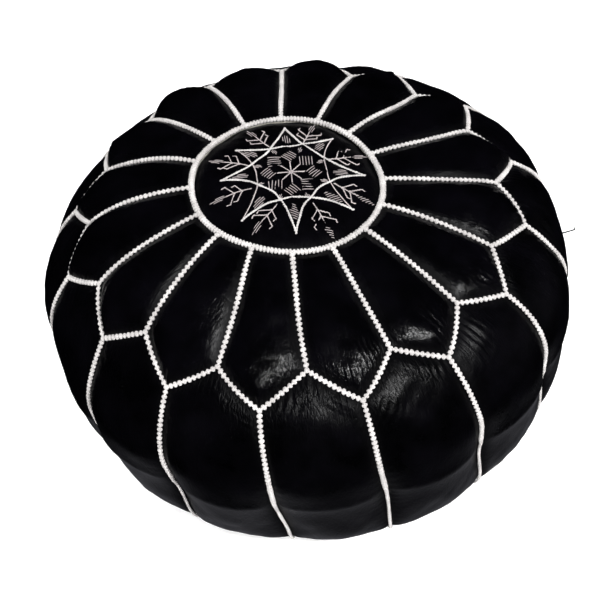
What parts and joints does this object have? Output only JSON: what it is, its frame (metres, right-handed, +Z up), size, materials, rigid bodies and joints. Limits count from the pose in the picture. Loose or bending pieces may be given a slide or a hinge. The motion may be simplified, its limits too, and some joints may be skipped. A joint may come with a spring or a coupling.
{
  "type": "leather pouf",
  "caption": "Round stuffed leather pouf with petal-shaped top panels, braided seams, an embroidered star medallion and a zipped flat base.",
  "frame": {"origin": "centre of the flat base, on the floor, under the middle of the medallion", "axes": "+Z up through the medallion; -Y is the front and the zip runs along X"},
  "size_m": [0.5298, 0.5298, 0.28],
  "materials": {
    "black_leather": "polished black goat leather with a satin sheen",
    "medallion_leather": "black leather, flatter under its embroidery",
    "base_leather": "matte black leather",
    "cream_thread": "matte off-white waxed cotton",
    "liner_cotton": "plain unbleached cotton",
    "wadding": "matte fibre wadding",
    "zip_tape": "matte black woven tape",
    "zip_metal": "satin antique metal"
  },
  "bodies": {
    "cover": {"base_half_back": "base_leather", "base_half_front": "base_leather", "base_seam_cord": "cream_thread", "filling": "wadding", "inner_liner": "liner_cotton", "medallion": "medallion_leather", "medallion_braid": "cream_thread", "medallion_star": "cream_thread", "petal_01": "black_leather", "petal_02": "black_leather", "petal_03": "black_leather", "petal_04": "black_leather", "petal_05": "black_leather", "petal_06": "black_leather", "petal_07": "black_leather", "petal_08": "black_leather", "petal_09": "black_leather", "petal_10": "black_leather", "petal_11": "black_leather", "petal_12": "black_leather", "petal_13": "black_leather", "petal_14": "black_leather", "petal_15": "black_leather", "petal_16": "black_leather", "seam_braid": "cream_thread", "side_panel_01": "black_leather", "side_panel_02": "black_leather", "side_panel_03": "black_leather", "side_panel_04": "black_leather", "side_panel_05": "black_leather", "side_panel_06": "black_leather", "side_panel_07": "black_leather", "side_panel_08": "black_leather", "side_panel_09": "black_leather", "side_panel_10": "black_leather", "side_panel_11": "black_leather", "side_panel_12": "black_leather", "side_panel_13": "black_leather", "side_panel_14": "black_leather", "side_panel_15": "black_leather", "side_panel_16": "black_leather", "zip_bottom_stop": "zip_metal", "zip_tape_back": "zip_tape", "zip_tape_front": "zip_tape", "zip_teeth_back": "zip_metal", "zip_teeth_front": "zip_metal", "zip_top_stop_back": "zip_metal", "zip_top_stop_front": "zip_metal"},
    "zip_slider": {"zip_slider": "zip_metal"},
    "pull_tab": {"zip_pull_tab": "zip_metal"}
  },
  "joints": [
    {"name": "zip_slide", "type": "slide", "parent": "cover", "child": "zip_slider", "axis": [1, 0, 0], "range_m": [0, 0.288]},
    {"name": "pull_tab_hinge", "type": "hinge", "parent": "zip_slider", "child": "pull_tab", "pos_m": [-0.144, 0, 0.0072], "axis": [0, 1, 0], "range_deg": [0, 180]}
  ]
}
